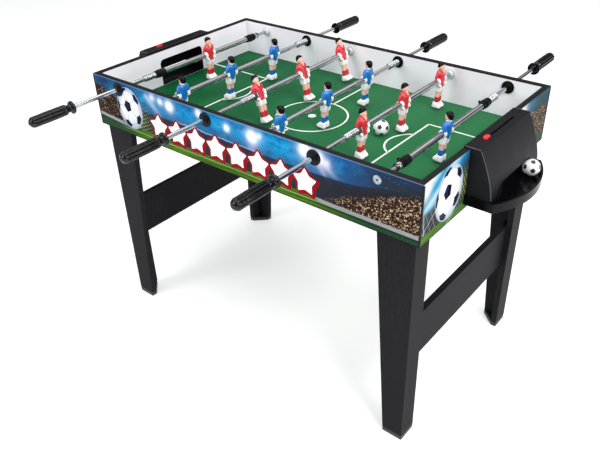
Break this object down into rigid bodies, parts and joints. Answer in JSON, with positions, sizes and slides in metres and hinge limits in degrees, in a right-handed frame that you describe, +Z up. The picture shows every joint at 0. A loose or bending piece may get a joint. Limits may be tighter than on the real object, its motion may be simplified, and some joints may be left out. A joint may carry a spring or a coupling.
{
  "type": "foosball table",
  "caption": "Free-standing table football game with telescopic player rods on bearings, green playfield, printed cabinet, ball-return hoods and L-section legs.",
  "frame": {"origin": "on the floor, at the centre of the whole table", "axes": "+X along the cabinet towards the goal the red team attacks, +Y across it along the rods, +Z up"},
  "size_m": [1.114, 1.026, 0.6961],
  "materials": {
    "printed_panel": "printed satin film outside, white laminate inside",
    "playfield_green": "satin printed board with white lines",
    "rim_plastic": "satin",
    "raw_board": "raw fibreboard",
    "charcoal_board": "charcoal laminate, fine grain",
    "foot_plastic": "matt",
    "zinc_steel": "zinc plated",
    "hood_plastic": "fine textured moulding",
    "tray_plastic": "semi gloss moulding",
    "red_marker": "gloss",
    "bushing_plastic": "satin",
    "cup_plastic": "satin",
    "ball_white": "satin with black spots",
    "guide_steel": "bright",
    "chrome_tube": "bright",
    "grip_rubber": "satin",
    "spring_steel": "bright wire",
    "bumper_rubber": "satin",
    "red_team": "painted figure",
    "blue_team": "painted figure"
  },
  "bodies": {
    "table": {"front_panel": "printed_panel", "rear_panel": "printed_panel", "left_end_panel": "printed_panel", "right_end_panel": "printed_panel", "playfield_board": "playfield_green", "rim_trim": "rim_plastic", "field_battens": "raw_board", "corner_blocks": "raw_board", "leg_front_left": "charcoal_board", "leg_front_right": "charcoal_board", "leg_rear_left": "charcoal_board", "leg_rear_right": "charcoal_board", "foot_pads": "foot_plastic", "stretcher_left": "charcoal_board", "stretcher_right": "charcoal_board", "frame_bolts": "zinc_steel", "tray_screws": "zinc_steel", "goal_hood_left": "hood_plastic", "goal_hood_right": "hood_plastic", "ball_tray_left": "tray_plastic", "ball_tray_right": "tray_plastic", "rod_bushings": "bushing_plastic", "rod_end_cups": "cup_plastic", "rod2_spring": "spring_steel", "rod4_spring": "spring_steel"},
    "rod1_spindle": {"rod1_guide": "guide_steel"},
    "rod1_bar": {"rod1_tube": "chrome_tube", "rod1_grip": "grip_rubber", "rod1_players": "red_team", "rod1_spring": "spring_steel", "rod1_bumpers": "bumper_rubber"},
    "rod2_spindle": {"rod2_guide": "guide_steel"},
    "rod2_bar": {"rod2_tube": "chrome_tube", "rod2_grip": "grip_rubber", "rod2_players": "blue_team"},
    "rod3_spindle": {"rod3_guide": "guide_steel"},
    "rod3_bar": {"rod3_tube": "chrome_tube", "rod3_grip": "grip_rubber", "rod3_players": "red_team", "rod3_spring": "spring_steel"},
    "rod4_spindle": {"rod4_guide": "guide_steel"},
    "rod4_bar": {"rod4_tube": "chrome_tube", "rod4_grip": "grip_rubber", "rod4_players": "blue_team"},
    "rod5_spindle": {"rod5_guide": "guide_steel"},
    "rod5_bar": {"rod5_tube": "chrome_tube", "rod5_grip": "grip_rubber", "rod5_players": "red_team", "rod5_spring": "spring_steel"},
    "rod6_spindle": {"rod6_guide": "guide_steel"},
    "rod6_bar": {"rod6_tube": "chrome_tube", "rod6_grip": "grip_rubber", "rod6_players": "blue_team", "rod6_spring": "spring_steel", "rod6_bumpers": "bumper_rubber"},
    "score_slider_left": {"score_slider_left": "red_marker"},
    "score_slider_right": {"score_slider_right": "red_marker"},
    "match_ball": {"match_ball": "ball_white"},
    "spare_ball": {"spare_ball": "ball_white"}
  },
  "joints": [
    {"name": "rod1_spin", "type": "hinge", "parent": "table", "child": "rod1_spindle", "pos_m": [-0.368, 0, 0.651], "axis": [0, 1, 0], "continuous": true},
    {"name": "rod1_slide", "type": "slide", "parent": "rod1_spindle", "child": "rod1_bar", "axis": [0, 1, 0], "range_m": [-0.06, 0.032]},
    {"name": "rod2_spin", "type": "hinge", "parent": "table", "child": "rod2_spindle", "pos_m": [-0.2208, 0, 0.651], "axis": [0, 1, 0], "continuous": true},
    {"name": "rod2_slide", "type": "slide", "parent": "rod2_spindle", "child": "rod2_bar", "axis": [0, 1, 0], "range_m": [-0.0275, 0.0745]},
    {"name": "rod3_spin", "type": "hinge", "parent": "table", "child": "rod3_spindle", "pos_m": [-0.0736, 0, 0.651], "axis": [0, 1, 0], "continuous": true},
    {"name": "rod3_slide", "type": "slide", "parent": "rod3_spindle", "child": "rod3_bar", "axis": [0, 1, 0], "range_m": [-0.092, 0.0105]},
    {"name": "rod4_spin", "type": "hinge", "parent": "table", "child": "rod4_spindle", "pos_m": [0.0736, 0, 0.651], "axis": [0, 1, 0], "continuous": true},
    {"name": "rod4_slide", "type": "slide", "parent": "rod4_spindle", "child": "rod4_bar", "axis": [0, 1, 0], "range_m": [-0.0295, 0.0725]},
    {"name": "rod5_spin", "type": "hinge", "parent": "table", "child": "rod5_spindle", "pos_m": [0.2208, 0, 0.651], "axis": [0, 1, 0], "continuous": true},
    {"name": "rod5_slide", "type": "slide", "parent": "rod5_spindle", "child": "rod5_bar", "axis": [0, 1, 0], "range_m": [-0.0815, 0.0205]},
    {"name": "rod6_spin", "type": "hinge", "parent": "table", "child": "rod6_spindle", "pos_m": [0.368, 0, 0.651], "axis": [0, 1, 0], "continuous": true},
    {"name": "rod6_slide", "type": "slide", "parent": "rod6_spindle", "child": "rod6_bar", "axis": [0, 1, 0], "range_m": [-0.032, 0.06]},
    {"name": "score_left_slide", "type": "slide", "parent": "table", "child": "score_slider_left", "axis": [0, 1, 0], "range_m": [-0.0025, 0.112]},
    {"name": "score_right_slide", "type": "slide", "parent": "table", "child": "score_slider_right", "axis": [0, 1, 0], "range_m": [-0.0025, 0.112]},
    {"name": "match_ball_lift", "type": "slide", "parent": "table", "child": "match_ball", "axis": [0, 0, 1], "range_m": [0, 0.15]},
    {"name": "spare_ball_roll", "type": "slide", "parent": "table", "child": "spare_ball", "axis": [0, 1, 0], "range_m": [-0.124, 0.001]}
  ]
}
